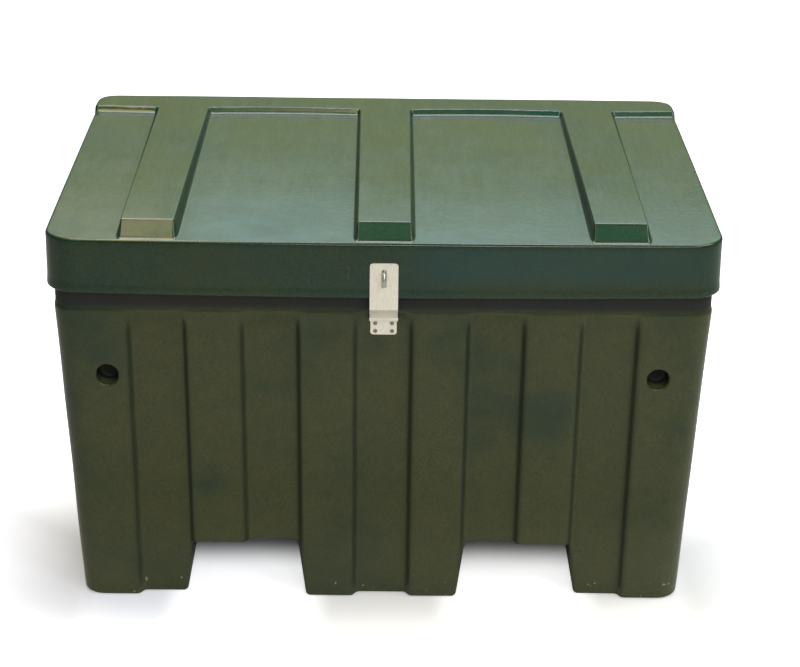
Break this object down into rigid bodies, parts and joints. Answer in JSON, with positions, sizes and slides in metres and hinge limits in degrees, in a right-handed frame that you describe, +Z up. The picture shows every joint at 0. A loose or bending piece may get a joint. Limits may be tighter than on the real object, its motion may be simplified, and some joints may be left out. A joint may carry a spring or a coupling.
{
  "type": "grit salt bin",
  "caption": "Moulded grit and salt bin with corrugated tub, fork tunnels, ribbed hinged lid and a front hasp for a padlock.",
  "frame": {"origin": "on the ground under the middle of the tub's footprint", "axes": "+X to the bin's right as seen from the front, -Y to the front with the hasp, +Z up"},
  "size_m": [1.2, 0.8232, 0.7685],
  "materials": {
    "green_moulding": "rotationally moulded polyethylene, glossy and lightly scuffed",
    "stainless": "brushed stainless sheet and wire",
    "zinc_fasteners": "plain bright fasteners"
  },
  "bodies": {
    "tub": {"hasp_leaf": "stainless", "hasp_nuts": "zinc_fasteners", "hasp_pin": "stainless", "hasp_screws": "zinc_fasteners", "hasp_washers": "zinc_fasteners", "hinge_left_pin": "stainless", "hinge_left_tub_leaf": "stainless", "hinge_right_pin": "stainless", "hinge_right_tub_leaf": "stainless", "tub": "green_moulding", "tub_hinge_bolts": "zinc_fasteners", "tub_hinge_nuts": "zinc_fasteners", "tub_hinge_washers": "zinc_fasteners"},
    "lid": {"hinge_left_lid_leaf": "stainless", "hinge_right_lid_leaf": "stainless", "lid": "green_moulding", "lid_hinge_bolts": "zinc_fasteners", "lid_hinge_nuts": "zinc_fasteners", "lid_hinge_washers": "zinc_fasteners", "staple": "stainless", "staple_nuts": "zinc_fasteners", "staple_screws": "zinc_fasteners", "staple_washers": "zinc_fasteners"},
    "flap": {"hasp_flap": "stainless"}
  },
  "joints": [
    {"name": "lid_hinge", "type": "hinge", "parent": "tub", "child": "lid", "pos_m": [0, 0.3858, 0.631], "axis": [-1, 0, 0], "range_deg": [0, 100]},
    {"name": "hasp_flap_hinge", "type": "hinge", "parent": "tub", "child": "flap", "pos_m": [0, -0.36644, 0.584], "axis": [1, 0, 0], "range_deg": [0, 125]}
  ]
}
